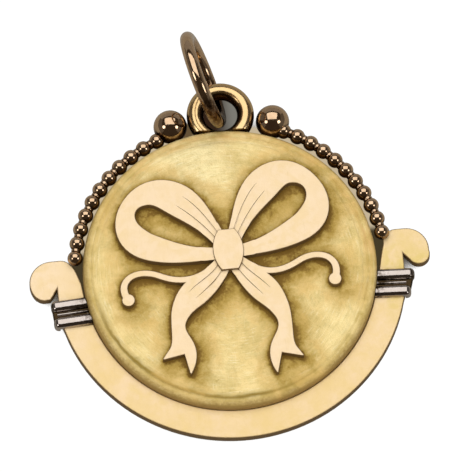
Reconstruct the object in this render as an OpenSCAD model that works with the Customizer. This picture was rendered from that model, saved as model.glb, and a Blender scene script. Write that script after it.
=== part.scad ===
// Round gold pendant lying on its back: the disc's centre is over the origin,
// +X is to the right, +Y points to the eyelet and +Z comes out of the face.

/* [Disc] */
// Radius of the round disc
disc_r = 12.4; // [12.2:0.05:12.6]
// Radius of the disc's rounded shoulder
shoulder_r = 0.7; // [0.5:0.05:0.8]
// Height of the flat face above the surface
face_z = 2.56; // [2.45:0.01:2.65]
// Depth of the soft groove round the flat face
groove_d = 0.05; // [0.03:0.01:0.06]
// Thickness of the hollow front shell
shell_wall = 0.5; // [0.4:0.05:0.6]
// Thickness of the flat back plate
back_t = 0.5; // [0.4:0.05:0.6]

/* [Crescent] */
// Outer radius of the crescent
crescent_r = 14.9; // [14.8:0.05:15]
// Underside of the crescent above the surface
crescent_z = 0.8; // [0.7:0.05:0.9]
// Thickness of the crescent plate
crescent_t = 0.8; // [0.7:0.05:0.85]
// Outer side of the stems that rise to the scroll heads
stem_x = 14.7; // [14.6:0.02:14.8]

/* [Clamps] */
// Radius of each half-round rib
rib_r = 0.5; // [0.4:0.02:0.52]
// Distance between the two ribs of a clamp
rib_pitch = 1.5; // [1.3:0.05:1.5]
// Middle of a clamp along Y
clamp_y = -2.54; // [-2.6:0.02:-2.4]
// Rise of the ribs towards the disc, in degrees
clamp_turn = 3; // [0:0.5:4]

/* [Beads] */
// Radius of the beads
bead_r = 0.64; // [0.6:0.01:0.66]
// Radius of the small collars between the beads
collar_r = 0.36; // [0.3:0.01:0.4]
// Beads in each row
bead_count = 11; // [9:1:11]
// Height of the beads' centres
bead_z = 2; // [1.9:0.05:2.1]
// Radius of the two large balls
ball_r = 1.39; // [1.3:0.01:1.4]
// Height of the balls' centres
ball_z = 1.9; // [1.7:0.05:2]

/* [Eyelet and ring] */
// Outer radius of the eyelet
eyelet_r = 2.86; // [2.8:0.02:2.9]
// Wire radius of the eyelet
eyelet_wire = 0.72; // [0.7:0.01:0.72]
// Outer radius of the jump ring
ring_r = 4.35; // [4.3:0.01:4.4]
// Wire radius of the jump ring
ring_wire = 0.53; // [0.5:0.01:0.56]

/* [Ribbon bow] */
// Height of the loops' flat top
loop_z = 3.3; // [3.2:0.05:3.35]
// Height of the tails' flat top
tail_z = 3.18; // [3.1:0.02:3.2]
// Height of the knot's top
knot_z = 3.5; // [3.45:0.05:3.6]
// Width of the widest ribbon
ribbon_w = 2.9; // [2.7:0.1:3]
// Width of the fine cords
cord_w = 0.56; // [0.5:0.02:0.6]
// Depth of the fine pleat lines
pleat_d = 0.12; // [0.08:0.01:0.16]

/* [Hidden] */
$fn = 96;

yellow_gold = [0.80, 0.69, 0.40];
rose_gold = [0.93, 0.78, 0.56];
polished_gold = [0.66, 0.47, 0.30];
white_metal = [0.74, 0.71, 0.72];

// Gap between pieces that touch on the real pendant
gap = 0.02;
shoulder_in = disc_r - shoulder_r;
shoulder_z = face_z - shoulder_r;
groove_r = 0.9;
crescent_top = crescent_z + crescent_t;
eyelet_mid = eyelet_r - eyelet_wire;

// What sits round the disc is placed by a radius and by an angle from +Y towards +X
left_row_r = disc_r + bead_r + 0.04;
right_row_r = left_row_r + 0.16;
left_beads_a = [-22.5, -80];
right_beads_a = [25.8, 81.1];
ball_row_r = disc_r + gap + ball_r;
left_ball_a = -15.7;
right_ball_a = 20.9;
eyelet_row_r = disc_r + 1.48;
eyelet_a = 2.4;
eyelet_z = 2;

// The ring stands on edge, turned from +Y towards -X and leaning the same way. Its
// middle lies further out than the eyelet's and to one side of it.
ring_turn = 11.9;
ring_lean = 12;
ring_side = 0.66;
ring_out = 2.69;
ring_lift = 0.02;

function at(a, r) = [r * sin(a), r * cos(a)];
function raised(p, z) = [p[0], p[1], z];
function unit(v) = v / norm(v);
function left_of(v) = [-v[1], v[0]];
function mix(p, q, t) = p + (q - p) * t;
function ease(t) = t * t * (3 - 2 * t);
function bezier(p, t) = len(p) == 1 ? p[0]
    : bezier([for (i = [0 : len(p) - 2]) mix(p[i], p[i + 1], t)], t);

// A chain holds cubic curves that share their end points
function on_chain(p, t) = let (
        spans = (len(p) - 1) / 3,
        k = min(floor(t * spans), spans - 1))
    bezier([for (i = [0 : 3]) p[3 * k + i]], t * spans - k);
function chain_side(p, t) =
    left_of(unit(on_chain(p, min(t + 0.004, 1)) - on_chain(p, max(t - 0.004, 0))));
// The width between rows of [place along the chain, width]
function width_at(rows, t, i = 0) =
    i >= len(rows) - 2 || t <= rows[i + 1][0]
        ? mix(rows[i][1], rows[i + 1][1],
              ease((t - rows[i][0]) / (rows[i + 1][0] - rows[i][0])))
        : width_at(rows, t, i + 1);

// A flat ribbon along a stretch of a chain, moved sideways by shift times its width
module ribbon(chain, widths, stretch = [0, 1], shift = 0, line = 0, steps = 36) {
    places = [for (i = [0 : steps]) mix(stretch[0], stretch[1], i / steps)];
    side = [for (t = places) chain_side(chain, t)];
    mid = [for (i = [0 : steps])
        on_chain(chain, places[i]) + side[i] * shift * width_at(widths, places[i])];
    half = [for (i = [0 : steps])
        side[i] * (line > 0 ? line * (1 - 0.9 * i / steps) : width_at(widths, places[i])) / 2];
    polygon(concat(
        [for (i = [0 : steps]) mid[i] + half[i]],
        [for (i = [steps : -1 : 0]) mid[i] - half[i]]));
}

module back_plate() {
    color(yellow_gold) cylinder(h = back_t, r = disc_r - 0.05);
}

module disc() {
    color(yellow_gold) rotate_extrude() difference() {
        union() {
            square([shoulder_in, face_z]);
            square([disc_r, shoulder_z]);
            translate([shoulder_in, shoulder_z]) circle(shoulder_r);
        }
        translate([shoulder_in - 0.26, face_z - groove_d + groove_r]) circle(groove_r);
        square([disc_r + 1, back_t + gap]);
        square([disc_r - shell_wall, shoulder_z]);
        square([shoulder_in, face_z - shell_wall]);
    }
}

// The scroll head is a large round with a smaller one on its inner shoulder, and a
// curled lobe whose underside is cut free from the stem.
head_c = [15, 0.45];
head_r = 1.93;
corner_c = [14.2, 1.3];
corner_r = 1.08;

// Each lobe as [middle, radius, its underside from the notch's tip outwards]
right_lobe = [[16.02, 0], 0.94, [[stem_x, 0.14], [15.2, -0.46], [16.84, -0.46]]];
left_lobe = [[15.75, -0.2], 0.9, [[stem_x - 0.06, -0.12], [15.28, -1.06], [15.75, -1.1],
                                  [16.4, -0.82]]];
// The inner side of each stem, from its head down to the disc
right_stem = [[corner_c[0] - corner_r, 1.2], [12.8, 0], [12.5, -1.3]];
left_stem = [[13.22, 1.85], [12.96, 1.35], [12.56, 0.1], [12.4, -1.3]];

module scroll_head(lobe) {
    under = lobe[2];
    last = under[len(under) - 1];
    difference() {
        union() {
            translate(head_c) circle(head_r);
            translate(corner_c) circle(corner_r);
            translate([corner_c[0], 0]) square([head_c[0] - corner_c[0], head_c[1] + head_r]);
            translate(lobe[0]) circle(lobe[1]);
        }
        difference() {
            polygon(concat(under, [[18, last[1]], [18, -3], [under[0][0], -3]]));
            translate(lobe[0]) circle(lobe[1]);
        }
    }
}

// One half of the crescent, drawn on the right side
module crescent_half(lobe, stem) {
    tip_x = lobe[2][0][0];
    difference() {
        union() {
            intersection() {
                circle(crescent_r, $fn = 180);
                translate([0, -crescent_r]) square([crescent_r, crescent_r - 4]);
            }
            polygon(concat([[11.5, -2.6], [11, -4.1], [14.3, -4.1], [tip_x, -3.1],
                            [tip_x, 1], corner_c], stem));
            intersection() {
                scroll_head(lobe);
                translate([corner_c[0] - corner_r, -3]) square(8);
            }
        }
        circle(disc_r + gap, $fn = 180);
    }
}

module crescent() {
    color(rose_gold) translate([0, 0, crescent_z]) linear_extrude(crescent_t) union() {
        crescent_half(right_lobe, right_stem);
        mirror([1, 0]) crescent_half(left_lobe, left_stem);
    }
}

// A rib lies over the plate and turns down its outer edge
module rib(y, reach) {
    drop = 0.35;
    translate([reach, y, crescent_top]) {
        rotate([0, -90, 0]) cylinder(h = reach, r = rib_r);
        sphere(rib_r);
        translate([0, 0, -drop]) cylinder(h = drop, r = rib_r);
    }
}

// A clamp on the right side, with how far its upper and lower ribs reach past the stem
module clamp(upper, lower) {
    strap_t = 0.14;
    ridge_r = 0.14;
    wall = 0.44;
    color(white_metal) difference() {
        translate([stem_x, clamp_y, 0]) rotate([0, 0, -clamp_turn]) translate([-stem_x, 0, 0]) {
            rib(rib_pitch / 2, stem_x + upper);
            rib(-rib_pitch / 2, stem_x + lower);
            translate([0, -rib_pitch / 2, crescent_top]) cube([stem_x, rib_pitch, strap_t]);
            translate([0, 0, crescent_top + strap_t]) rotate([0, 90, 0])
                cylinder(h = stem_x + lower, r = ridge_r);
            translate([0, 0, crescent_z]) linear_extrude(crescent_t + strap_t) polygon([
                [stem_x - 0.3, -rib_pitch / 2], [stem_x + lower + wall, -rib_pitch / 2],
                [stem_x + upper + wall, rib_pitch / 2], [stem_x - 0.3, rib_pitch / 2]]);
        }
        // The crescent's own place under the clamp
        translate([10, -6, 0]) cube([stem_x + gap - 10, 8, crescent_top + gap]);
        cylinder(h = 5, r = disc_r + gap);
    }
}

// The fine wire between two beads, with its collar
module collar(span) {
    wire_r = 0.2;
    collar_t = 0.28;
    rotate([0, 90, 0]) {
        cylinder(h = span, r = wire_r);
        translate([0, 0, (span - collar_t) / 2]) cylinder(h = collar_t, r = collar_r);
    }
}

// A row of beads on its wire, cut to sit against the ball and on the scroll head
module bead_row(a, row_r, ball_a) {
    step = (a[1] - a[0]) / (bead_count - 1);
    side = sign(step);
    color(polished_gold) difference() {
        for (i = [0 : bead_count - 1])
            translate(raised(at(a[0] + i * step, row_r), bead_z)) {
                rotate([0, 90, -a[0] - i * step]) sphere(bead_r, $fn = 48);
                if (i < bead_count - 1)
                    rotate([0, 0, (side > 0 ? 0 : 180) - a[0] - (i + 0.5) * step])
                        collar(2 * row_r * sin(abs(step) / 2));
            }
        translate(raised(at(ball_a, ball_row_r), ball_z)) sphere(ball_r + gap);
        translate([side * 13.5 - 1.5, 0.5, 0]) cube([3, 3, crescent_top + gap]);
    }
}

module ball(a) {
    color(polished_gold) translate(raised(at(a, ball_row_r), ball_z)) sphere(ball_r);
}

module eyelet() {
    color(rose_gold) difference() {
        translate(raised(at(eyelet_a, eyelet_row_r), eyelet_z))
            rotate_extrude() translate([eyelet_mid, 0]) circle(eyelet_wire);
        cylinder(h = 5, r = disc_r + gap);
    }
}

module jump_ring() {
    middle = at(eyelet_a, eyelet_row_r) + at(-90 - ring_turn, ring_side)
        + at(-ring_turn, ring_out);
    ring_z = (ring_r - ring_wire) * cos(ring_lean) + ring_wire + ring_lift;
    color(polished_gold) translate(raised(middle, ring_z))
        rotate([0, 90 - ring_lean, ring_turn])
            rotate_extrude() translate([ring_r - ring_wire, 0]) circle(ring_wire);
}

// The bow's centre lines
left_loop = [[-0.4, 1.8], [-1.8, 4.4], [-4.2, 7.6], [-6.6, 6.9],
             [-9, 6.2], [-8.9, 3.2], [-6.6, 2.2],
             [-4.8, 1.4], [-2.6, 1], [-0.4, 1.1]];
right_loop = [[0.4, 1.8], [1.5, 4.8], [3.7, 8.3], [6, 7.7],
              [8.3, 7.1], [8.6, 4.1], [6.4, 2.8],
              [4.6, 1.8], [2.4, 1.2], [0.4, 1.1]];
left_tail = [[-0.3, 1], [-1, -1.6], [-3.6, -1.6], [-4.6, -4],
             [-5.4, -6], [-3.9, -6.6], [-5.3, -8.6]];
right_tail = [[0.3, 1], [0.9, -1.2], [3, -2], [3.9, -4.4],
              [4.7, -6.6], [3, -7.2], [4.2, -9.3]];
left_cord = [[-0.4, 1], [-2.4, -1.4], [-4.4, -1.2], [-6, -0.4],
             [-8, 0.6], [-9.8, -0.6], [-8.8, -2.3]];
right_cord = [[0.4, 1], [2.4, -1.2], [4, -1.2], [5.8, -0.2],
              [7.6, 0.8], [9.5, -0.2], [8.7, -2.1]];

// Ribbon widths as [place along the chain, share of the widest ribbon]
loop_rows = [[0, 0.4], [0.2, 1], [0.42, 0.5], [0.62, 0.85], [1, 0.35]];
tail_rows = [[0, 0.45], [0.32, 0.85], [0.6, 0.42], [1, 0.95]];
cord_rows = [[0, 1], [0.7, 1], [1, 1.2]];

function scaled(rows, w) = [for (row = rows) [row[0], row[1] * w]];

module cord(chain) {
    ribbon(chain, scaled(cord_rows, cord_w));
    translate(chain[len(chain) - 1]) circle(0.55);
}

module knot() {
    knot_half = 1.3;
    knot_arc = 3;
    intersection() {
        translate([knot_arc - knot_half, 1.3]) circle(knot_arc);
        translate([knot_half - knot_arc, 1.3]) circle(knot_arc);
        translate([-2, -0.5]) square([4, 3.6]);
    }
}

// A tail ends in a notch between two points
module tail(chain, widths) {
    last = chain[len(chain) - 1];
    side = chain_side(chain, 1) * width_at(widths, 1) / 2;
    back = [-side[1], side[0]];
    difference() {
        ribbon(chain, widths, steps = 44);
        polygon([last + back * 0.9, last + side * 1.1 - back * 0.2,
                 last - side * 1.1 - back * 0.2]);
    }
}

// Pleat lines that fan out from the knot into a ribbon
module pleats(chain, rows, stretch, top) {
    translate([0, 0, top - pleat_d]) linear_extrude(1) union()
        for (shift = [-0.17, 0.17])
            ribbon(chain, rows, stretch, shift, 0.16, 12);
}

module ribbon_bow() {
    loop_w = scaled(loop_rows, ribbon_w);
    tail_w = scaled(tail_rows, ribbon_w);
    foot = face_z + gap;
    color(rose_gold) union() {
        difference() {
            translate([0, 0, foot]) union() {
                linear_extrude(loop_z - foot) union() {
                    ribbon(left_loop, loop_w, steps = 60);
                    ribbon(right_loop, loop_w, steps = 60);
                }
                linear_extrude(tail_z - foot) union() {
                    tail(left_tail, tail_w);
                    tail(right_tail, tail_w);
                    cord(left_cord);
                    cord(right_cord);
                }
            }
            pleats(left_loop, loop_w, [0.03, 0.2], loop_z);
            pleats(right_loop, loop_w, [0.03, 0.2], loop_z);
            pleats(left_tail, tail_w, [0.06, 0.36], tail_z);
            pleats(right_tail, tail_w, [0.06, 0.36], tail_z);
        }
        translate([0, 0, foot]) linear_extrude(knot_z - foot) knot();
    }
}

back_plate();
disc();
crescent();
mirror([1, 0, 0]) clamp(0.08, 0.04);  // clamp_left
clamp(0.24, -0.12);  // clamp_right
bead_row(left_beads_a, left_row_r, left_ball_a);  // bead_row_left
bead_row(right_beads_a, right_row_r, right_ball_a);  // bead_row_right
ball(left_ball_a);  // ball_left
ball(right_ball_a);  // ball_right
eyelet();
jump_ring();
ribbon_bow();
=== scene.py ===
# Round gold pendant lying on its back: finer metal pieces, finishes, light and camera
import math

import bmesh
import bpy
from mathutils import Matrix, Vector
from mathutils.bvhtree import BVHTree


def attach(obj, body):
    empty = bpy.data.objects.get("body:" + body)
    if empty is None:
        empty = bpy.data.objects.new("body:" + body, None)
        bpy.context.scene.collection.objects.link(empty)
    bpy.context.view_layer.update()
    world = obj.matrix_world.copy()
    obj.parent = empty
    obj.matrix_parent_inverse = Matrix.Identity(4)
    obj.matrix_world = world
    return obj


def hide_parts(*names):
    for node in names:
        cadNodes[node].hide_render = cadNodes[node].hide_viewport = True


mm = 0.001  # lengths below are in millimetres, turns in degrees
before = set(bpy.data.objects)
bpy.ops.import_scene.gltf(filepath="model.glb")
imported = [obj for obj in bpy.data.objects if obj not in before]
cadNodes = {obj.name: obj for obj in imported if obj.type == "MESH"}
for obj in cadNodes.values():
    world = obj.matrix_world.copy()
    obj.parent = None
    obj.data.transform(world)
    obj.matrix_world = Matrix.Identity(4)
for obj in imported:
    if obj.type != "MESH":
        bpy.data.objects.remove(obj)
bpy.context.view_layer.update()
print("frame: %d solids" % len(cadNodes))

# Camera and light share one way of naming a direction: an elevation that may pass
# over the top to the far side, and a turn sideways from there.
cameraView = {
    "elevation": 70.0,
    "turn": 5.75,  # the pendant lies turned this far anticlockwise in the picture
    "aim": (0.44, 2.97, 2.0),
    "distance": 1000.0,
    "pictureHeight": 39.83,  # what the taller side of the picture takes in
    "sensor": 36.0,
    "clip": (10.0, 20000.0),
}


def direction(elevation, sideways=0.0):
    turn = math.radians(cameraView["turn"])
    rise, side = math.radians(elevation), math.radians(sideways)
    forward = Vector((-math.sin(turn) * math.cos(rise), -math.cos(turn) * math.cos(rise), math.sin(rise)))
    right = Vector((math.cos(turn), -math.sin(turn), 0))
    return forward * math.cos(side) + right * math.sin(side)


# Turned so that the picture's left and right stay level in whatever looks at the target
def lookAt(thing, stand, target):
    back = (stand - target).normalized()
    across = direction(0, 90)
    across = (across - back * across.dot(back)).normalized()
    thing.location = stand
    thing.rotation_mode = "QUATERNION"
    thing.rotation_quaternion = Matrix((across, back.cross(across), back)).transposed().to_quaternion()


def addCamera():
    data = bpy.data.cameras.new("camera")
    data.sensor_width = cameraView["sensor"]
    data.lens = cameraView["sensor"] * cameraView["distance"] / cameraView["pictureHeight"]
    data.clip_start, data.clip_end = (end * mm for end in cameraView["clip"])
    camera = bpy.data.objects.new("camera", data)
    bpy.context.scene.collection.objects.link(camera)
    aim = Vector(cameraView["aim"]) * mm
    lookAt(camera, aim + direction(cameraView["elevation"]) * cameraView["distance"] * mm, aim)
    bpy.context.scene.camera = camera


addCamera()
print("camera: %.0f degrees above the floor" % cameraView["elevation"])

# Shader tools


def nodeGroup(name, inputs, outputs):
    group = bpy.data.node_groups.new(name, "ShaderNodeTree")
    for socket, value in inputs.items():
        made = group.interface.new_socket(socket, in_out="INPUT", socket_type="NodeSocketFloat")
        made.default_value = value
    for socket in outputs:
        group.interface.new_socket(socket, in_out="OUTPUT", socket_type="NodeSocketFloat")
    return group


def emptyTree(owner):
    owner.use_nodes = True
    owner.node_tree.nodes.clear()
    return owner.node_tree


# Adds a node; each input takes a link or a plain value
def place(tree, kind, inputs=None, **settings):
    node = tree.nodes.new("ShaderNode" + kind)
    for key, value in settings.items():
        setattr(node, key, value)
    for socket, source in (inputs or {}).items():
        if isinstance(source, bpy.types.NodeSocket):
            tree.links.new(source, node.inputs[socket])
        else:
            node.inputs[socket].default_value = source
    return node


def noise(tree, vector, scale, detail, roughness, distortion=0.0):
    return place(tree, "TexNoise", {"Vector": vector, "Scale": scale, "Detail": detail,
                                    "Roughness": roughness, "Distortion": distortion}).outputs["Fac"]


def between(tree, value, low, high, toLow=0.0, toHigh=1.0):
    return place(tree, "MapRange", {"Value": value, "From Min": low, "From Max": high,
                                    "To Min": toLow, "To Max": toHigh},
                 interpolation_type="SMOOTHSTEP").outputs["Result"]


def fading(tree, value, low, high):
    return between(tree, value, low, high, 1.0, 0.0)


# A mask that runs from 0 to 1 made one that runs between two other values
def spread(tree, mask, low, high):
    return between(tree, mask, 0.0, 1.0, low, high)


def maths(tree, operation, a, b=0.0):
    return place(tree, "Math", {0: a, 1: b}, operation=operation).outputs[0]


def product(tree, *values):
    result = values[0]
    for value in values[1:]:
        result = maths(tree, "MULTIPLY", result, value)
    return result


def highest(tree, *values):
    result = values[0]
    for value in values[1:]:
        result = maths(tree, "MAXIMUM", result, value)
    return result


def blend(tree, factor, a, b):
    return place(tree, "Mix", {0: factor, 6: a, 7: b}, data_type="RGBA").outputs[2]


# A smooth hill over a value: one at its middle and nothing past its width
def hill(tree, value, middle, width):
    away = maths(tree, "ABSOLUTE", maths(tree, "SUBTRACT", value, middle))
    return fading(tree, away, 0.0, width)


def rgba(red, green, blue):
    return (red, green, blue, 1.0)


# The place on the surface in millimetres
def placeInMm(tree):
    where = place(tree, "TexCoord").outputs["Object"]
    return place(tree, "VectorMath", {0: where, "Scale": 1 / mm}, operation="SCALE").outputs[0]


def coordinates(tree, vector):
    return place(tree, "SeparateXYZ", {"Vector": vector}).outputs


def distance(tree, vector, point=(0, 0, 0)):
    return place(tree, "VectorMath", {0: vector, 1: point}, operation="DISTANCE").outputs["Value"]


def attribute(tree, name):
    return place(tree, "Attribute", attribute_name=name).outputs["Fac"]


# Marks that any old metal surface carries. A noise is its detail, roughness and distortion.
wear = {
    "patchNoise": (4.0, 0.55, 0.4), "patchRange": (0.3, 0.7), "grainNoise": (2.0, 0.6),
    "scratchesLie": ((0.6, 9.0), (2.1, 7.0)),  # turned by so many radians, and this thin
    "scratchLength": 0.55, "scratchNoise": (4.0, 0.7), "scratchRange": (0.6, 0.78),
    "pitRags": {"Scale": 3.0, "Detail": 3.0}, "pitScale": 0.4, "pitSize": 0.11,
}


def makeWearGroup():
    group = nodeGroup("metalWear", {"Patch Size": 4.0, "Grain Size": 0.1, "Seed": 0.0},
                      ["Patches", "Grain", "Scratches", "Pits"])
    start = group.nodes.new("NodeGroupInput")
    end = group.nodes.new("NodeGroupOutput")
    moved = place(group, "VectorMath", {0: placeInMm(group), 1: start.outputs["Seed"]},
                  operation="ADD").outputs[0]
    patchScale = maths(group, "DIVIDE", 1.0, start.outputs["Patch Size"])
    grainScale = maths(group, "DIVIDE", 1.0, start.outputs["Grain Size"])
    patches = noise(group, moved, patchScale, *wear["patchNoise"])
    grain = noise(group, moved, grainScale, *wear["grainNoise"])
    # Long thin cells lying two ways are the polishing scratches
    lines = []
    for turn, thinness in wear["scratchesLie"]:
        lying = place(group, "Mapping", {"Vector": moved, "Rotation": (0, 0, turn),
                                         "Scale": (thinness, wear["scratchLength"], 1.0)}).outputs[0]
        lines.append(between(group, noise(group, lying, 1.0, *wear["scratchNoise"]), *wear["scratchRange"]))
    # Few pits, of ragged outlines and unequal sizes
    rags = place(group, "TexNoise", {"Vector": moved, **wear["pitRags"]}).outputs["Color"]
    bent = place(group, "VectorMath", {0: moved, 1: rags}, operation="ADD").outputs[0]
    spots = place(group, "TexVoronoi", {"Vector": bent, "Scale": wear["pitScale"], "Randomness": 1.0})
    pits = maths(group, "LESS_THAN", spots.outputs["Distance"], product(group, patches, wear["pitSize"]))
    for name, source in (("Patches", between(group, patches, *wear["patchRange"])), ("Grain", grain),
                         ("Scratches", highest(group, *lines)), ("Pits", pits)):
        group.links.new(source, end.inputs[name])
    return group


wearGroup = makeWearGroup()


def addWear(tree, patchSize, grainSize, seed):
    return place(tree, "Group", {"Patch Size": patchSize, "Grain Size": grainSize, "Seed": seed},
                 node_tree=wearGroup).outputs


def metalMaterial(name, **shader):
    material = bpy.data.materials.new(name)
    tree = emptyTree(material)
    surface = place(tree, "BsdfPrincipled", shader)
    place(tree, "OutputMaterial", {"Surface": surface.outputs[0]})
    return material, tree, surface


def bump(tree, surface, height, strength, depth):
    node = place(tree, "Bump", {"Height": height, "Strength": strength, "Distance": depth * mm})
    tree.links.new(node.outputs[0], surface.inputs["Normal"])


# What the plain golds and the grey metal share
smoothMetal = {
    "blotSize": 0.28, "blotSeed": 5, "blotAmount": 0.5, "grainRange": (0.3, 0.7),
    "pinkSpread": (0.4, 1.0), "yellowSpread": (0.3, 1.0), "shadeAndTarnishSpread": (0.8, 1.2),
    "shadeAndTarnishRoughens": 0.08,
}


def goldMaterial(name, look):
    shared = smoothMetal
    material, tree, surface = metalMaterial(name, Metallic=look.get("metallic", 1.0))
    marks = addWear(tree, look["patchSize"], look["grainSize"], look["seed"])
    blots = addWear(tree, look["patchSize"] * shared["blotSize"], look["grainSize"],
                    look["seed"] + shared["blotSeed"])
    colour = blend(tree, marks["Patches"], rgba(*look["colour"]), rgba(*look["patchColour"]))
    colour = blend(tree, product(tree, blots["Patches"], shared["blotAmount"]), colour,
                   rgba(*look["blotColour"]))
    if "pink" in look:
        inMm = placeInMm(tree)
        parts = coordinates(tree, inMm)
        pink = highest(tree, fading(tree, distance(tree, inMm), *look["pinkWithin"]),
                       fading(tree, parts["X"], *look["pinkLeft"]))
        pink = product(tree, pink, spread(tree, blots["Patches"], *shared["pinkSpread"]))
        colour = blend(tree, pink, colour, rgba(*look["pink"]))
        yellow = product(tree, between(tree, parts["X"], *look["yellowRight"]),
                         hill(tree, parts["Y"], *look["yellowHill"]),
                         spread(tree, blots["Patches"], *shared["yellowSpread"]))
        colour = blend(tree, yellow, colour, rgba(*look["yellow"]))
    colour = blend(tree, product(tree, marks["Scratches"], look["scratches"]), colour,
                   rgba(*look["scratchColour"]))
    # Painted shade and tarnish darken the recesses, and painted shade darkens the places given as dark
    recess = highest(tree, attribute(tree, "recess"), attribute(tree, "paintedShade"))
    uneven = product(tree, recess, spread(tree, blots["Patches"], *shared["shadeAndTarnishSpread"]))
    shadedAndTarnished = between(tree, uneven, *look["shadeAndTarnishFrom"])
    # Painted shade darkens the steep sides and their rounded edges
    if "steepShade" in look:
        facing = coordinates(tree, place(tree, "NewGeometry").outputs["True Normal"])
        level = maths(tree, "ABSOLUTE", facing["Z"])
        shadedAndTarnished = highest(tree, shadedAndTarnished, fading(tree, level, *look["steepShade"]))
    colour = blend(tree, shadedAndTarnished, colour, rgba(*look["shadeAndTarnishColour"]))
    rough = between(tree, marks["Grain"], *shared["grainRange"], *look["roughness"])
    rough = maths(tree, "ADD", rough, product(tree, shadedAndTarnished, shared["shadeAndTarnishRoughens"]))
    tree.links.new(rough, surface.inputs["Roughness"])
    tree.links.new(colour, surface.inputs["Base Color"])
    bump(tree, surface, marks["Grain"], look["bump"], look["grainSize"])
    return material


satinRose = goldMaterial("satinRoseGold", {
    "metallic": 0.4,
    "colour": (0.735, 0.545, 0.263), "patchColour": (0.78, 0.593, 0.364),
    "blotColour": (0.713, 0.524, 0.207), "scratchColour": (0.59, 0.42, 0.21),
    "shadeAndTarnishColour": (0.17, 0.10, 0.035), "shadeAndTarnishFrom": (0.55, 0.95), "steepShade": (0.92, 0.998),
    "pink": (0.79, 0.614, 0.40), "pinkWithin": (11.0, 12.6), "pinkLeft": (-15.5, -11.5),
    "yellow": (0.65, 0.497, 0.158), "yellowRight": (12.4, 13.4), "yellowHill": (-2.0, 5.0),
    "patchSize": 3.2, "grainSize": 0.12, "seed": 3.0, "scratches": 0.35, "roughness": (0.38, 0.50),
    "bump": 0.08})
polishedRose = goldMaterial("polishedRoseGold", {
    "colour": (0.69, 0.50, 0.32), "patchColour": (0.62, 0.43, 0.27), "blotColour": (0.52, 0.34, 0.20),
    "scratchColour": (0.40, 0.25, 0.14), "shadeAndTarnishColour": (0.09, 0.045, 0.018), "shadeAndTarnishFrom": (0.05, 0.36),
    "patchSize": 1.2, "grainSize": 0.2, "seed": 11.0, "scratches": 0.4, "roughness": (0.07, 0.13),
    "bump": 0.02})
polishedYellow = goldMaterial("polishedYellowGold", {
    "colour": (0.78, 0.56, 0.28), "patchColour": (0.72, 0.48, 0.23), "blotColour": (0.74, 0.52, 0.24),
    "scratchColour": (0.45, 0.28, 0.12), "shadeAndTarnishColour": (0.08, 0.04, 0.015), "shadeAndTarnishFrom": (0.25, 0.60),
    "patchSize": 1.8, "grainSize": 0.15, "seed": 23.0, "scratches": 0.4, "roughness": (0.14, 0.22),
    "bump": 0.03})
greyMetal = goldMaterial("polishedGreyMetal", {
    "colour": (0.54, 0.48, 0.44), "patchColour": (0.50, 0.44, 0.39), "blotColour": (0.47, 0.40, 0.36),
    "scratchColour": (0.30, 0.24, 0.19), "shadeAndTarnishColour": (0.045, 0.028, 0.012), "shadeAndTarnishFrom": (0.38, 0.85),
    "patchSize": 0.9, "grainSize": 0.25, "seed": 31.0, "scratches": 0.3, "roughness": (0.09, 0.13),
    "bump": 0.03})

# The disc's bloomed gold: its colours, its marks, how strong each layer is and where it lies
bloom = {
    "light": (0.96, 0.79, 0.40), "mid": (0.77, 0.57, 0.22), "green": (0.66, 0.55, 0.23),
    "brown": (0.43, 0.288, 0.062), "edge": (0.17, 0.085, 0.01), "rubbed": (0.80, 0.50, 0.22),
    "wall": (0.36, 0.22, 0.07), "shoulderShade": (0.30, 0.195, 0.055), "footLineShade": (0.25, 0.165, 0.02),
    "rimTint": (0.42, 0.27, 0.03), "olive": (0.52, 0.385, 0.12), "orange": (0.73, 0.475, 0.15),
    "scratch": (1.0, 0.93, 0.66), "bright": (1.0, 0.87, 0.50),
    # Patch size, grain size and seed
    "marks": (4.5, 0.1, 7.0), "blots": (1.1, 0.22, 19.0), "smudges": (2.3, 0.5, 41.0),
    "lines": (1.5, 0.16, 53.0),
    "amounts": {"blots": 0.4, "streaks": 0.35, "smudges": 0.4, "brightScratches": 0.55, "specks": 0.4,
                "fineSpecks": 0.12, "scratches": 0.3, "paleHairs": 0.4, "brownHairs": 0.35,
                "rims": 0.8, "orange": 0.5, "deepest": 0.85, "pits": 0.45},
    "ranges": {"smudges": (0.45, 1.0), "smudgeGrain": (0.3, 0.7, 0.5, 1.0), "brightScratches": (0.2, 0.8),
               "specks": (0.5, 0.8), "speckPatches": (0.3, 1.0), "fineSpecks": (0.45, 0.75),
               "paleHairs": (0.52, 0.72), "brownHairs": (0.28, 0.46), "orange": (0.02, 0.22),
               "orangePatches": (0.2, 0.9), "cornerGrain": (0.25, 0.75, 0.88, 1.12),
               "corner": (0.0, 0.8), "deepest": (0.65, 1.15), "above": (0.0, 0.6), "below": (-0.5, 0.5),
               "bottom": (0.45, 0.85), "shoulderGrain": (0.3, 0.7, 0.55, 0.9),
               "roughness": (0.2, 0.8, 0.46, 0.6)},
    "spreads": {"bright": (0.5, 1.0), "rimTint": (0.25, 0.5), "line": (0.65, 1.0), "corner": (0.75, 1.2)},
    "brightMiddle": (-2.4, 9.2, 2.56), "brightReach": (0.5, 5.0),
    # Radii where each part of the rim starts and is whole
    "shoulder": (11.75, 12.2), "rubbedRim": (11.1, 11.8), "tintedRim": (11.2, 11.7),
    "lowerEdgeShade": (12.2, 12.36),
    "line": 11.68, "lineWaver": 0.22, "lineWidths": ((0.55, 0.5), (0.26, 0.85)),
    # Painted shade darkens the disc below these heights: fully below the first, none above the second
    "wallShadeHeight": (1.75, 2.05),
    "metallic": (0.5, 0.12),  # on the face and on the shoulder
    "specular": 0.3, "bump": 0.35, "bumpDepth": 0.1,
}
# The disc's own places: the way down the picture, and the arcs that a polishing cloth
# leaves round the middle, each with its fineness across and along them
discPlaces = {"down": (-0.42, -0.91, 0), "streaks": (3.2, 5.0), "hairs": (8.0, 7.0),
              "noise": (4.0, 0.65), "streakRange": (0.35, 0.7)}


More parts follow.
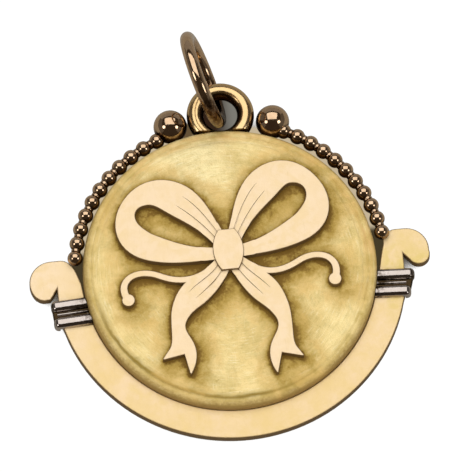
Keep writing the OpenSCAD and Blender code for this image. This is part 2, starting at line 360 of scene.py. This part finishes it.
def makeDiscPlaceGroup():
    group = nodeGroup("discPlace", {}, ["Radius", "Height", "Lower", "Upper", "Streaks", "Hairs"])
    end = group.nodes.new("NodeGroupOutput")
    parts = coordinates(group, placeInMm(group))
    flat = place(group, "CombineXYZ", {"X": parts["X"], "Y": parts["Y"]}).outputs[0]
    radius = distance(group, flat)
    outward = place(group, "VectorMath", {0: flat}, operation="NORMALIZE").outputs[0]
    lower = place(group, "VectorMath", {0: outward, 1: discPlaces["down"]},
                  operation="DOT_PRODUCT").outputs["Value"]
    around = maths(group, "ARCTAN2", parts["X"], parts["Y"])
    arcs = []
    for across, along in (discPlaces["streaks"], discPlaces["hairs"]):
        rubbed = place(group, "CombineXYZ", {"X": product(group, radius, across),
                                             "Y": product(group, around, along)}).outputs[0]
        arcs.append(noise(group, rubbed, 1.0, *discPlaces["noise"]))
    for name, source in (("Radius", radius), ("Height", parts["Z"]), ("Lower", lower),
                         ("Upper", product(group, lower, -1.0)),
                         ("Streaks", between(group, arcs[0], *discPlaces["streakRange"])),
                         ("Hairs", arcs[1])):
        group.links.new(source, end.inputs[name])
    return group


def bloomedMaterial():
    material, tree, surface = metalMaterial("bloomedGold", **{"Specular IOR Level": bloom["specular"]})
    marks, blots, smudges, lines = [addWear(tree, *bloom[kind])
                                    for kind in ("marks", "blots", "smudges", "lines")]
    at = place(tree, "Group", node_tree=makeDiscPlaceGroup()).outputs
    amounts, ranges, spreads = bloom["amounts"], bloom["ranges"], bloom["spreads"]
    # The face is lighter round a place near the eyelet
    fromMiddle = distance(tree, placeInMm(tree), bloom["brightMiddle"])
    bright = product(tree, fading(tree, fromMiddle, *bloom["brightReach"]),
                     spread(tree, marks["Patches"], *spreads["bright"]))
    # Olive smudges, and a few bright scratches where they are
    olive = product(tree, between(tree, smudges["Patches"], *ranges["smudges"]),
                    between(tree, smudges["Grain"], *ranges["smudgeGrain"]), amounts["smudges"])
    scratched = product(tree, lines["Scratches"],
                        between(tree, smudges["Patches"], *ranges["brightScratches"]),
                        amounts["brightScratches"])
    # Fine brown specks in the matte skin
    specks = product(tree, between(tree, blots["Grain"], *ranges["specks"]),
                     between(tree, blots["Patches"], *ranges["speckPatches"]), amounts["specks"])
    fineSpecks = product(tree, between(tree, marks["Grain"], *ranges["fineSpecks"]), amounts["fineSpecks"])
    # Hair-fine arcs, pale ones and brown ones
    paleHairs = product(tree, between(tree, at["Hairs"], *ranges["paleHairs"]), amounts["paleHairs"])
    brownHairs = product(tree, fading(tree, at["Hairs"], *ranges["brownHairs"]), amounts["brownHairs"])
    # The shoulder is rubbed to an orange tint above, and painted shade darkens its lower side
    rubbedRim = product(tree, between(tree, at["Radius"], *bloom["rubbedRim"]),
                        between(tree, at["Upper"], *ranges["above"]), at["Streaks"], amounts["rims"])
    rimTint = product(tree, between(tree, at["Radius"], *bloom["tintedRim"]),
                      spread(tree, blots["Patches"], *spreads["rimTint"]))
    below = between(tree, at["Lower"], *ranges["below"])
    lowerRimShade = product(tree, between(tree, at["Radius"], *bloom["shoulder"]), below,
                       between(tree, blots["Grain"], *ranges["shoulderGrain"]))
    lowerEdgeShade = product(tree, between(tree, at["Radius"], *bloom["lowerEdgeShade"]), below, amounts["rims"])
    # The dark line of painted shade along the foot of the shoulder, on its lower side, wavers, and fades
    # out towards the upper right
    atBottom = product(tree, between(tree, at["Lower"], *ranges["bottom"]),
                       spread(tree, marks["Patches"], *spreads["line"]))
    wavering = maths(tree, "ADD", at["Radius"], product(tree, marks["Patches"], bloom["lineWaver"]))
    paintedFootLines = [product(tree, hill(tree, wavering, bloom["line"], width), atBottom, strength)
                 for width, strength in bloom["lineWidths"]]
    # Painted shade and shadow, with tarnish, in the corners beside the bow, and painted shade low on the
    # shoulder and down the wall where it meets the crescent
    corner = attribute(tree, "bowShadowAndTarnish")
    cloudyBowShade = product(tree, corner, spread(tree, blots["Patches"], *spreads["corner"]),
                     between(tree, blots["Grain"], *ranges["cornerGrain"]))
    warmBowShade = product(tree, between(tree, corner, *ranges["orange"]),
                   fading(tree, smudges["Patches"], *ranges["orangePatches"]), amounts["orange"])
    deepest = product(tree, between(tree, cloudyBowShade, *ranges["deepest"]), amounts["deepest"])
    layers = [
        (marks["Patches"], "light"), (bright, "bright"),
        (product(tree, blots["Patches"], amounts["blots"]), "green"),
        (product(tree, at["Streaks"], amounts["streaks"]), "mid"),
        (olive, "olive"), (scratched, "scratch"), (specks, "brown"), (fineSpecks, "brown"),
        (product(tree, marks["Scratches"], amounts["scratches"]), "brown"),
        (paleHairs, "scratch"), (brownHairs, "brown"), (rubbedRim, "rubbed"), (rimTint, "rimTint"),
        # Painted shade on the lower side of the shoulder
        (lowerRimShade, "shoulderShade"), (lowerEdgeShade, "shoulderShade"),
        # Painted shade in a line along the foot of the shoulder
        *((line, "footLineShade") for line in paintedFootLines),
        # Painted shade and shadow beside the bow, with tarnish
        (warmBowShade, "orange"), (between(tree, cloudyBowShade, *ranges["corner"]), "brown"), (deepest, "edge"),
        # Painted shade on the wall and the low shoulder
        (fading(tree, at["Height"], *bloom["wallShadeHeight"]), "wall"),
        (product(tree, marks["Pits"], amounts["pits"]), "brown"),
    ]
    colour = rgba(*bloom["mid"])
    for mask, name in layers:
        colour = blend(tree, mask, colour, rgba(*bloom[name]))
    tree.links.new(colour, surface.inputs["Base Color"])
    matte = between(tree, at["Radius"], *bloom["shoulder"], *bloom["metallic"])
    tree.links.new(matte, surface.inputs["Metallic"])
    tree.links.new(between(tree, marks["Grain"], *ranges["roughness"]), surface.inputs["Roughness"])
    bump(tree, surface, marks["Grain"], bloom["bump"], bloom["bumpDepth"])
    return material


bloomedGold = bloomedMaterial()
print("materials: %d" % len(bpy.data.materials))

# Mesh tools. Every piece is built in millimetres and made metres at the end.
weld = 1e-4  # points nearer than this become one


def arc(centre, radius, start, end, steps):
    angles = [math.radians(start + (end - start) * i / steps) for i in range(steps + 1)]
    return [(centre[0] + radius * math.cos(a), centre[1] + radius * math.sin(a)) for a in angles]


def onlyVerts(parts):
    return [part for part in parts if isinstance(part, bmesh.types.BMVert)]


def onlyEdges(parts):
    return [part for part in parts if isinstance(part, bmesh.types.BMEdge)]


# Spins the outline that a bmesh holds once round Z
def spinRound(bm, turns):
    bmesh.ops.spin(bm, geom=bm.verts[:] + bm.edges[:], cent=(0, 0, 0), axis=(0, 0, 1), dvec=(0, 0, 0),
                   angle=2 * math.pi, steps=turns, use_merge=True, use_duplicate=False)
    bmesh.ops.remove_doubles(bm, verts=bm.verts, dist=weld)
    bmesh.ops.recalc_face_normals(bm, faces=bm.faces)
    return bm


# A round body from an outline of (radius, height) points
def spun(points, turns):
    bm = bmesh.new()
    line = [bm.verts.new((r, 0, z)) for r, z in points]
    for pair in zip(line, line[1:]):
        bm.edges.new(pair)
    return spinRound(bm, turns)


def wireRing(outerRadius, wireRadius, turns, sides):
    bm = bmesh.new()
    made = bmesh.ops.create_circle(bm, cap_ends=False, segments=sides, radius=wireRadius)["verts"]
    bmesh.ops.rotate(bm, verts=made, cent=(0, 0, 0), matrix=Matrix.Rotation(math.pi / 2, 3, "X"))
    bmesh.ops.translate(bm, verts=made, vec=(outerRadius - wireRadius, 0, 0))
    return spinRound(bm, turns)


def addBall(bm, centre, radius, around, upDown):
    bmesh.ops.create_uvsphere(bm, u_segments=around, v_segments=upDown, radius=radius,
                              matrix=Matrix.Translation(centre))


def roundEdges(bm, edges, width, clamped=True):
    bmesh.ops.bevel(bm, geom=edges, offset=width, offset_type="OFFSET", segments=3, profile=0.5,
                    affect="EDGES", clamp_overlap=clamped, material=-1)


# Cuts off what lies nearer the disc's middle than a plane, and closes the cut
def cutInside(bm, outward, away):
    bmesh.ops.bisect_plane(bm, geom=bm.verts[:] + bm.edges[:] + bm.faces[:], dist=weld / 10,
                           plane_co=outward * away, plane_no=outward, clear_inner=True)
    bmesh.ops.holes_fill(bm, edges=[e for e in bm.edges if e.is_boundary], sides=0)


# A place by its angle from +Y towards +X, its radius and its height
def onCircle(angle, radius, height):
    a = math.radians(angle)
    return Vector((radius * math.sin(a), radius * math.cos(a), height))


def finishPiece(name, bm, material, nodeNames):
    bmesh.ops.scale(bm, vec=(mm, mm, mm), verts=bm.verts)
    mesh = bpy.data.meshes.new(name)
    bm.to_mesh(mesh)
    bm.free()
    mesh.materials.append(material)
    for face in mesh.polygons:
        face.use_smooth = True
    piece = bpy.data.objects.new(name, mesh)
    bpy.context.scene.collection.objects.link(piece)
    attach(piece, "root")
    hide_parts(*nodeNames)
    return piece


def sharpPast(piece, angle):
    piece.data.set_sharp_from_angle(angle=math.radians(angle))


# Painted shade: it grows past a start in what is measured at each point
def addPaintedShade(piece, measure, start, fade, most):
    shares = piece.data.attributes.new("paintedShade", "FLOAT", "POINT")
    for vertex in piece.data.vertices:
        share = (measure(vertex.co / mm) - start) / fade
        shares.data[vertex.index].value = most * min(max(share, 0.0), 1.0)


# The flat plates, which are the bow and the crescent
plates = {
    "bow": {"bevel": 0.06, "above": 3.0},
    "crescent": {"bevel": 0.1, "above": 1.5},
    "merge": 1e-3, "slivers": 0.02, "level": 0.5, "corner": 40, "tallerThan": 0.15,
    "sharp": 42, "flatArea": 0.5,
    # Low edges beside the knot aren't rounded, because they run into its sides
    "knot": {"above": 3.4, "middle": Vector((0.05, 1.25)), "reach": 2.3},
}


def rise(face):
    heights = [v.co.z for v in face.verts]
    return max(heights) - min(heights)


# A merged copy of a solid's mesh, with its sharp upper edges rounded off
def softenedCopy(nodeName, look, knot=None):
    s = plates
    bm = bmesh.new()
    bm.from_mesh(cadNodes[nodeName].data)
    bmesh.ops.scale(bm, vec=(1 / mm, 1 / mm, 1 / mm), verts=bm.verts)
    bmesh.ops.remove_doubles(bm, verts=bm.verts, dist=s["merge"])
    bmesh.ops.dissolve_limit(bm, angle_limit=math.radians(s["level"]), verts=bm.verts, edges=bm.edges)
    bmesh.ops.remove_doubles(bm, verts=bm.verts, dist=s["slivers"])
    # The shallow pleats stay sharp, and so do the outline's inner corners
    sharp = [e for e in bm.edges if len(e.link_faces) == 2
             and e.calc_face_angle_signed(0) > math.radians(s["corner"])
             and min(v.co.z for v in e.verts) > look["above"]
             and max(rise(face) for face in e.link_faces) > s["tallerThan"]]
    if knot:
        sharp = [e for e in sharp if min(v.co.z for v in e.verts) > knot["above"]
                 or all((v.co.to_2d() - knot["middle"]).length > knot["reach"] for v in e.verts)]
    roundEdges(bm, sharp, look["bevel"], clamped=False)
    return bm


def flatFacesStayFlat(piece):
    sharpPast(piece, plates["sharp"])
    for face in piece.data.polygons:
        face.use_smooth = face.area < plates["flatArea"] * mm * mm


bow = softenedCopy("ribbon_bow", plates["bow"], plates["knot"])
bowPiece = finishPiece("ribbon_bow_plate", bow, satinRose, ["ribbon_bow"])
flatFacesStayFlat(bowPiece)
print("bow done")

# The disc and the plate behind it
discSize = {
    "radius": 12.4, "shoulder": 0.7, "fullness": 3.0, "shoulderSteps": 20, "face": 2.56, "foot": 0.52,
    "footEdge": 0.05, "grooveDepth": 0.05, "grooveRound": 0.9, "grooveIn": 0.26, "grooveSteps": 12,
    "ringWidth": 0.1, "turns": 360, "sharp": 40,
}
# How deep each point of the face lies in the painted shade and shadow beside the bow, which
# also stand for tarnish there: a narrow part and a wide one, each with its depth, reach and
# steepness. The wide one is a painted shadow, measured from a point moved towards the light,
# so it reaches further on the bow's lower right sides. Inside the loops and between the tails
# the bow closes the painted shade in.
bowShadowAndTarnish = {
    "narrow": (0.85, 0.18, 1.2), "wide": (0.55, 1.8, 1.4), "wideFalls": 2.0, "shift": (-0.5, 0.5, 0.0),
    "closed": 0.62, "closedReach": 3.0, "rays": 8, "rayHeight": 0.3, "most": 1.3,
}
backPlate = {"inset": 0.05, "thick": 0.5, "edge": 0.08, "edgeSteps": 6, "turns": 256}


def addBowShadowAndTarnish(piece, bowTree):
    s = bowShadowAndTarnish
    depth = piece.data.attributes.new("bowShadowAndTarnish", "FLOAT", "POINT")
    shift, lift = Vector(s["shift"]) * mm, Vector((0, 0, s["rayHeight"] * mm))
    (narrow, narrowReach, narrowPower), (wide, wideReach, widePower) = s["narrow"], s["wide"]
    angles = [2 * math.pi * i / s["rays"] for i in range(s["rays"])]
    rays = [Vector((math.cos(a), math.sin(a), 0)) for a in angles]
    for vertex in piece.data.vertices:
        close = bowTree.find_nearest(vertex.co)[3] / mm
        moved = bowTree.find_nearest(vertex.co + shift)[3] / mm
        value = narrow * math.exp(-(close / narrowReach) ** narrowPower)
        value += wide * math.exp(-(moved / wideReach) ** widePower * s["wideFalls"])
        if close < s["closedReach"]:
            met = [bowTree.ray_cast(vertex.co + lift, ray, s["closedReach"] * mm)[3] for ray in rays]
            closed = sum(1 - away / mm / s["closedReach"] for away in met if away is not None) / len(rays)
            value += s["closed"] * closed
        depth.data[vertex.index].value = min(value, s["most"])


def makeDisc(bowTree):
    s = discSize
    inner = s["radius"] - s["shoulder"]
    grooveMiddle = inner - s["grooveIn"]
    grooveHeight = s["face"] - s["grooveDepth"] + s["grooveRound"]
    half = math.degrees(math.acos((s["grooveRound"] - s["grooveDepth"]) / s["grooveRound"]))
    grooveEdge = grooveMiddle - s["grooveRound"] * math.sin(math.radians(half))
    rings = int(grooveEdge / s["ringWidth"])
    points = [(grooveEdge * i / rings, s["face"]) for i in range(rings)]
    points += arc((grooveMiddle, grooveHeight), s["grooveRound"], -90 - half, -90 + half, s["grooveSteps"])
    power = 2 / s["fullness"]
    angles = [math.pi / 2 * (1 - i / s["shoulderSteps"]) for i in range(s["shoulderSteps"])]
    points += [(inner + s["shoulder"] * math.cos(a) ** power,
                s["face"] - s["shoulder"] * (1 - math.sin(a) ** power)) for a in angles]
    points += [(s["radius"], s["face"] - s["shoulder"]), (s["radius"], s["foot"] + s["footEdge"]),
               (s["radius"] - s["footEdge"], s["foot"]), (0, s["foot"])]
    piece = finishPiece("bloomed_disc", spun(points, s["turns"]), bloomedGold, ["disc"])
    sharpPast(piece, s["sharp"])
    addBowShadowAndTarnish(piece, bowTree)


def makeBackPlate():
    s = backPlate
    radius = discSize["radius"] - s["inset"]
    points = [(0, s["thick"]), (radius, s["thick"])]
    points += arc((radius - s["edge"], s["edge"]), s["edge"], 0, -90, s["edgeSteps"]) + [(0, 0)]
    piece = finishPiece("back_disc", spun(points, s["turns"]), bloomedGold, ["back_plate"])
    sharpPast(piece, discSize["sharp"])


bowMesh = bmesh.new()
bowMesh.from_mesh(bowPiece.data)
makeDisc(BVHTree.FromBMesh(bowMesh))
bowMesh.free()
makeBackPlate()
crescent = softenedCopy("crescent", plates["crescent"])
flatFacesStayFlat(finishPiece("crescent_plate", crescent, satinRose, ["crescent"]))
print("disc, back and crescent done")

clamps = {
    "stem": 14.7, "middle": -2.54, "turn": 3.0, "pitch": 1.5, "rib": 0.5, "crown": 2.7, "drop": 0.35,
    "strap": 0.14, "ridge": 0.14, "wall": 0.44, "top": 1.6, "foot": 0.8, "gap": 0.02, "inner": 11.8,
    "cut": 12.42, "reach": {"left": (0.08, 0.04), "right": (0.24, -0.12)}, "past": 0.1,
    "strapEdge": 0.02, "wallEdge": 0.1, "ribSteps": 32, "turnSteps": 12, "ridgeSides": 24, "sharp": 40,
    "darkPast": 0.25, "darkFade": 0.15, "darkEnd": 0.75,
}


# A half-round outline that is carried along, turned down over the end and dropped
def addRib(bm, y, reach):
    s = clamps
    power = 2 / s["crown"]
    angles = [math.pi * i / s["ribSteps"] for i in range(s["ribSteps"] + 1)]
    line = [bm.verts.new((s["inner"], y + s["rib"] * math.copysign(abs(math.cos(a)) ** power, math.cos(a)),
                          s["top"] + s["gap"] + (s["rib"] - s["gap"]) * math.sin(a) ** power))
            for a in angles]
    edges = [bm.edges.new(pair) for pair in zip(line, line[1:] + line[:1])]
    bmesh.ops.contextual_create(bm, geom=edges)
    swept = bmesh.ops.extrude_edge_only(bm, edges=edges)["geom"]
    bmesh.ops.translate(bm, verts=onlyVerts(swept), vec=(reach - s["inner"], 0, 0))
    atEnd = [v for v in onlyVerts(swept) if v.co.x > reach - weld]
    atEnd += [e for e in onlyEdges(swept) if all(v.co.x > reach - weld for v in e.verts)]
    turned = bmesh.ops.spin(bm, geom=atEnd, cent=(reach, 0, s["top"]), axis=(0, 1, 0), dvec=(0, 0, 0),
                            angle=math.pi / 2, steps=s["turnSteps"], use_merge=False,
                            use_duplicate=False)["geom_last"]
    dropped = bmesh.ops.extrude_edge_only(bm, edges=onlyEdges(turned))["geom"]
    bmesh.ops.translate(bm, verts=onlyVerts(dropped), vec=(0, 0, -s["drop"]))
    low = min(v.co.z for v in onlyVerts(dropped))
    bmesh.ops.contextual_create(bm, geom=[e for e in onlyEdges(dropped)
                                          if all(v.co.z < low + weld for v in e.verts)])


# A flat outline of (x, y) points pulled up between two heights, its edges taken off
def addSlab(bm, outline, foot, top, edge):
    part = bmesh.new()
    face = part.faces.new([part.verts.new((x, y, foot)) for x, y in outline])
    pulled = bmesh.ops.extrude_face_region(part, geom=[face])["geom"]
    bmesh.ops.translate(part, verts=onlyVerts(pulled), vec=(0, 0, top - foot))
    bmesh.ops.recalc_face_normals(part, faces=part.faces)
    roundEdges(part, part.edges[:], edge)
    joined = bpy.data.meshes.new("slab")
    part.to_mesh(joined)
    bm.from_mesh(joined)
    part.free()


def makeClamp(side):
    s = clamps
    upper, lower = s["reach"][side]
    low, high = s["middle"] - s["pitch"] / 2, s["middle"] + s["pitch"] / 2
    bm = bmesh.new()
    addRib(bm, high, s["stem"] + upper)
    addRib(bm, low, s["stem"] + lower)
    strapTop, strapEnd = s["top"] + s["strap"], s["stem"] + s["past"]
    addSlab(bm, [(s["inner"], low), (strapEnd, low), (strapEnd, high), (s["inner"], high)],
            s["top"] + s["gap"], strapTop, s["strapEdge"])
    wallStart, wallEnd = s["stem"] + s["gap"], s["stem"] + s["wall"]
    addSlab(bm, [(wallStart, low), (wallEnd + lower, low), (wallEnd + upper, high), (wallStart, high)],
            s["foot"], strapTop, s["wallEdge"])
    length = strapEnd + lower - s["inner"]
    along = Matrix.Translation((s["inner"] + length / 2, s["middle"], strapTop)) \
        @ Matrix.Rotation(math.pi / 2, 4, "Y")
    bmesh.ops.create_cone(bm, cap_ends=True, segments=s["ridgeSides"], radius1=s["ridge"],
                          radius2=s["ridge"], depth=length, matrix=along)
    bmesh.ops.rotate(bm, verts=bm.verts, cent=(s["stem"], s["middle"], 0),
                     matrix=Matrix.Rotation(math.radians(-s["turn"]), 3, "Z"))
    cutInside(bm, Vector((s["inner"], s["middle"], 0)).normalized(), s["cut"])
    if side == "left":
        bmesh.ops.scale(bm, vec=(-1, 1, 1), verts=bm.verts)
        bmesh.ops.reverse_faces(bm, faces=bm.faces)
    bmesh.ops.recalc_face_normals(bm, faces=bm.faces)
    piece = finishPiece("clamp_band_" + side, bm, greyMetal, ["clamp_" + side])
    sharpPast(piece, s["sharp"])
    # Painted shade darkens the ends that turn down over the stem
    addPaintedShade(piece, lambda point: abs(point.x), s["stem"] + (upper + lower) / 2 + s["darkPast"],
                s["darkFade"], s["darkEnd"])


for side in ("left", "right"):
    makeClamp(side)
print("clamps done")

# Balls and beads. A row is its radius on the disc, and the angles of its first and last bead.
beads = {
    "radius": 0.655, "height": 2.0, "count": 11, "around": 40, "upDown": 26,
    "between": ((0.4, 0.32), (0.26, 1.0)),  # radius and width of the collar and of the wire
    "collarSides": 28, "collarEdge": 0.08, "rimAngle": 57,
    "rows": {"left": (13.08, -22.5, -80.0), "right": (13.24, 25.8, 81.1)},
}
balls = {"radius": 1.42, "height": 1.9, "row": 13.81, "angles": {"left": -15.7, "right": 20.9},
         "around": 96, "upDown": 64}


def makeBall(side):
    bm = bmesh.new()
    addBall(bm, onCircle(balls["angles"][side], balls["row"], balls["height"]), balls["radius"],
            balls["around"], balls["upDown"])
    finishPiece("ball_bead_" + side, bm, polishedRose, ["ball_" + side])


def makeBeadRow(side):
    s = beads
    row, first, last = s["rows"][side]
    step = (last - first) / (s["count"] - 1)
    rimAngle = math.radians(s["rimAngle"])
    bm = bmesh.new()
    for i in range(s["count"]):
        addBall(bm, onCircle(first + i * step, row, s["height"]), s["radius"], s["around"], s["upDown"])
        if i == s["count"] - 1:
            break
        angle = first + (i + 0.5) * step
        turned = Matrix.Translation(onCircle(angle, row, s["height"])) \
            @ Matrix.Rotation(math.radians(-angle), 4, "Z") @ Matrix.Rotation(math.pi / 2, 4, "Y")
        for radius, width in s["between"]:
            made = bmesh.ops.create_cone(bm, cap_ends=True, segments=s["collarSides"], radius1=radius,
                                         radius2=radius, depth=width, matrix=turned)["verts"]
            rim = [e for v in made for e in v.link_edges if e.calc_face_angle(0) > rimAngle]
            roundEdges(bm, list(set(rim)), s["collarEdge"])
    finishPiece("bead_arc_" + side, bm, polishedRose, ["bead_row_" + side])


for side in ("left", "right"):
    makeBall(side)
    makeBeadRow(side)
print("balls and beads done")

# The eyelet, and the jump ring that stands in it
eyelet = {
    "outer": 2.86, "wire": 0.72, "turns": 160, "sides": 48, "angle": 2.4, "row": 13.88, "height": 2.0,
    "cut": 12.36, "sharp": 50, "darkInside": 1.85, "darkFade": 0.15, "darkMost": 1.0,
}
ring = {
    "outer": 4.348, "wire": 0.565, "turns": 180, "sides": 44, "turn": 11.9, "lean": 12.6,
    "side": 0.66, "out": 2.69, "lift": 0.02, "darkBelow": 2.4, "darkFade": 0.8, "darkMost": 0.3,
}


def makeEyelet():
    s = eyelet
    middle = onCircle(s["angle"], s["row"], s["height"])
    bm = wireRing(s["outer"], s["wire"], s["turns"], s["sides"])
    bmesh.ops.translate(bm, verts=bm.verts, vec=middle)
    cutInside(bm, onCircle(s["angle"], 1, 0), s["cut"])
    piece = finishPiece("eyelet_loop", bm, polishedYellow, ["eyelet"])
    sharpPast(piece, s["sharp"])
    # Painted shade darkens the inner side
    addPaintedShade(piece, lambda point: -(point - middle).to_2d().length, -s["darkInside"], s["darkFade"],
                s["darkMost"])


def makeJumpRing():
    s = ring
    lean = math.radians(s["lean"])
    height = (s["outer"] - s["wire"]) * math.cos(lean) + s["wire"] + s["lift"]
    middle = onCircle(eyelet["angle"], eyelet["row"], 0) + onCircle(-90 - s["turn"], s["side"], 0) \
        + onCircle(-s["turn"], s["out"], height)
    bm = wireRing(s["outer"], s["wire"], s["turns"], s["sides"])
    for matrix in (Matrix.Rotation(math.pi / 2 - lean, 3, "Y"),
                   Matrix.Rotation(math.radians(s["turn"]), 3, "Z")):
        bmesh.ops.rotate(bm, verts=bm.verts, cent=(0, 0, 0), matrix=matrix)
    bmesh.ops.translate(bm, verts=bm.verts, vec=middle)
    piece = finishPiece("jump_ring_wire", bm, polishedRose, ["jump_ring"])
    # Painted shade darkens the end that hangs in the eyelet
    outward = onCircle(-s["turn"], 1, 0)
    addPaintedShade(piece, lambda point: -(point - middle).dot(outward), s["darkBelow"], s["darkFade"],
                s["darkMost"])


makeEyelet()
makeJumpRing()
print("eyelet and jump ring done")

# How closed in each point is: the share of short rays from it that meet a piece. The polished
# metals take painted shade and tarnish from it.
recessRays = {"count": 24, "reach": 2.6, "start": 0.01,
              "goldenTurn": 2.39996}  # in radians, so that the rays spread evenly


def addRecess(pieces, around):
    s = recessRays
    corners, faces = [], []
    for piece in around:
        first = len(corners)
        corners += [vertex.co for vertex in piece.data.vertices]
        faces += [[first + corner for corner in face.vertices] for face in piece.data.polygons]
    tree = BVHTree.FromPolygons(corners, faces)
    rays = []
    for i in range(s["count"]):
        height, turn = math.sqrt((i + 0.5) / s["count"]), i * s["goldenTurn"]
        flat = math.sqrt(1 - height * height)
        rays.append(Vector((flat * math.cos(turn), flat * math.sin(turn), height)))
    for piece in pieces:
        recess = piece.data.attributes.new("recess", "FLOAT", "POINT")
        for vertex in piece.data.vertices:
            start = vertex.co + vertex.normal * s["start"] * mm
            turned = vertex.normal.to_track_quat("Z", "Y").to_matrix()
            met = [tree.ray_cast(start, turned @ ray, s["reach"] * mm)[0] for ray in rays]
            recess.data[vertex.index].value = sum(hit is not None for hit in met) / s["count"]


newPieces = [thing for thing in bpy.context.scene.objects
             if thing.type == "MESH" and thing not in cadNodes.values()]
polished = (polishedRose, polishedYellow, greyMetal)
addRecess([piece for piece in newPieces if piece.data.materials[0] in polished], newPieces)
print("tarnished recesses done")

# Floor, world and lights. A shade's colour fills its places up to the first length and
# is gone past the second.
studio = {
    "floor": 3000.0, "floorShown": (1.05, 1.05, 1.05), "floorMirrored": (0.30, 0.285, 0.25),
    "deepShade": (0.03, 0.02, 0.01), "softShade": (0.38, 0.36, 0.32),
    "occlusion": {"reach": 6.0, "samples": 16, "deep": (0.12, 0.26), "open": (0.24, 0.36)},
    "hole": {"middle": (0.55, 14.5, 0.0), "width": (1.9, 2.4), "dark": (0.032, 0.016, 0.009),
             "light": (0.20, 0.192, 0.168), "across": (0.05, 1.85)},
    "corner": {"colour": (0.13, 0.085, 0.04), "middle": (-2.35, 13.5, 0), "width": (0.55, 0.95)},
    "rim": {"colour": (0.56, 0.46, 0.31), "middle": (0, 0.6, 0), "width": (12.95, 13.35)},
    "stem": {"colour": (0.06, 0.045, 0.022), "width": (13.3, 13.7), "height": (2.9, 3.6)},
    "backdrop": (1.0, 1.0, 1.0), "mirroredWorld": (0.050, 0.038, 0.028),
}
lights = {
    "softbox": {"elevation": 114.5, "sideways": -3, "distance": 600, "size": (740, 560), "radiance": 1.5},
    # The fill lights only what is matte
    "fill": {"elevation": 60, "sideways": 0, "distance": 700, "size": (900, 900), "radiance": 2.4,
             "mirrored": False},
    "back": {"elevation": 166, "sideways": 0, "distance": 500, "size": (1100, 260), "radiance": 0.25},
    "lamp": {"elevation": 71, "sideways": 45, "distance": 500, "size": (170, 170), "radiance": 3.2,
             "shape": "DISK"},
    "panel": {"elevation": 92, "sideways": 84, "distance": 500, "size": (520, 800), "radiance": 0.09},
}


# The camera sees a bright floor, and the metal mirrors it as a greyer one. Only the
# floor in narrow gaps and under a nearly closed hole is shaded.
def floorMaterial():
    material = bpy.data.materials.new("paleFloor")
    tree = emptyTree(material)
    inMm = placeInMm(tree)
    parts = coordinates(tree, inMm)
    occlusion, hole, corner = studio["occlusion"], studio["hole"], studio["corner"]
    rim, stem = studio["rim"], studio["stem"]
    opening = place(tree, "AmbientOcclusion", {"Distance": occlusion["reach"] * mm},
                    samples=occlusion["samples"]).outputs["AO"]
    # The ring and the eyelet shade what shows through the eyelet's hole
    inHole = fading(tree, distance(tree, inMm, hole["middle"]), *hole["width"])
    holeColour = blend(tree, between(tree, parts["X"], *hole["across"]), rgba(*hole["dark"]),
                       rgba(*hole["light"]))
    # The floor is painted dark brown in the gap between the left ball and the eyelet
    inCorner = fading(tree, distance(tree, inMm, corner["middle"]), *corner["width"])
    # Painted shade on the floor: beige right beside the disc, and dark where the crescent's stems close it
    # in
    outward = distance(tree, inMm, rim["middle"])
    inGap = product(tree, fading(tree, outward, *stem["width"]),
                    fading(tree, maths(tree, "ABSOLUTE", parts["Y"]), *stem["height"]))
    besideRim = product(tree, fading(tree, outward, *rim["width"]), maths(tree, "SUBTRACT", 1.0, inHole))
    shade = blend(tree, between(tree, opening, *occlusion["deep"]), rgba(*studio["deepShade"]),
                  rgba(*studio["softShade"]))
    for mask, colour in ((inHole, holeColour), (besideRim, rgba(*rim["colour"])),
                         (inGap, rgba(*stem["colour"])), (inCorner, rgba(*corner["colour"]))):
        shade = blend(tree, mask, shade, colour)
    unshaded = maths(tree, "SUBTRACT", 1.0, highest(tree, besideRim, inCorner, inHole, inGap))
    isOpen = product(tree, between(tree, opening, *occlusion["open"]), unshaded)
    shown = place(tree, "Emission", {"Color": blend(tree, isOpen, shade, rgba(*studio["floorShown"]))})
    mirrored = place(tree, "BsdfDiffuse", {"Color": rgba(*studio["floorMirrored"])})
    seen = place(tree, "LightPath").outputs["Is Camera Ray"]
    mixed = place(tree, "MixShader", {0: seen, 1: mirrored.outputs[0], 2: shown.outputs[0]})
    place(tree, "OutputMaterial", {"Surface": mixed.outputs[0]})
    return material


def addFloor():
    bm = bmesh.new()
    bmesh.ops.create_grid(bm, x_segments=1, y_segments=1, size=studio["floor"] * mm)
    mesh = bpy.data.meshes.new("floor")
    bm.to_mesh(mesh)
    bm.free()
    mesh.materials.append(floorMaterial())
    floor = bpy.data.objects.new("floor", mesh)
    bpy.context.scene.collection.objects.link(floor)


def addWorld():
    world = bpy.data.worlds.new("studio")
    tree = emptyTree(world)
    seen = place(tree, "LightPath").outputs["Is Camera Ray"]
    colour = blend(tree, seen, rgba(*studio["mirroredWorld"]), rgba(*studio["backdrop"]))
    shader = place(tree, "Background", {"Color": colour})
    place(tree, "OutputWorld", {"Surface": shader.outputs[0]})
    bpy.context.scene.world = world


def addLight(name, side=1):
    look = lights[name]
    width, height = (length * mm for length in look["size"])
    data = bpy.data.lights.new(name, "AREA")
    data.shape = look.get("shape", "RECTANGLE")
    data.size, data.size_y = width, height
    data.energy = look["radiance"] * math.pi * width * height * (math.pi / 4 if data.shape == "DISK" else 1)
    light = bpy.data.objects.new(name, data)
    light.visible_camera = False
    light.visible_glossy = look.get("mirrored", True)
    bpy.context.scene.collection.objects.link(light)
    target = Vector(cameraView["aim"]) * mm
    towards = direction(look["elevation"], side * look["sideways"])
    lookAt(light, target + towards * look["distance"] * mm, target)


addFloor()
addWorld()
for name in ("softbox", "fill", "back"):
    addLight(name)
for side in (-1, 1):
    addLight("lamp", side)
    addLight("panel", side)
bpy.context.scene.view_settings.view_transform = "Standard"
print("studio done")
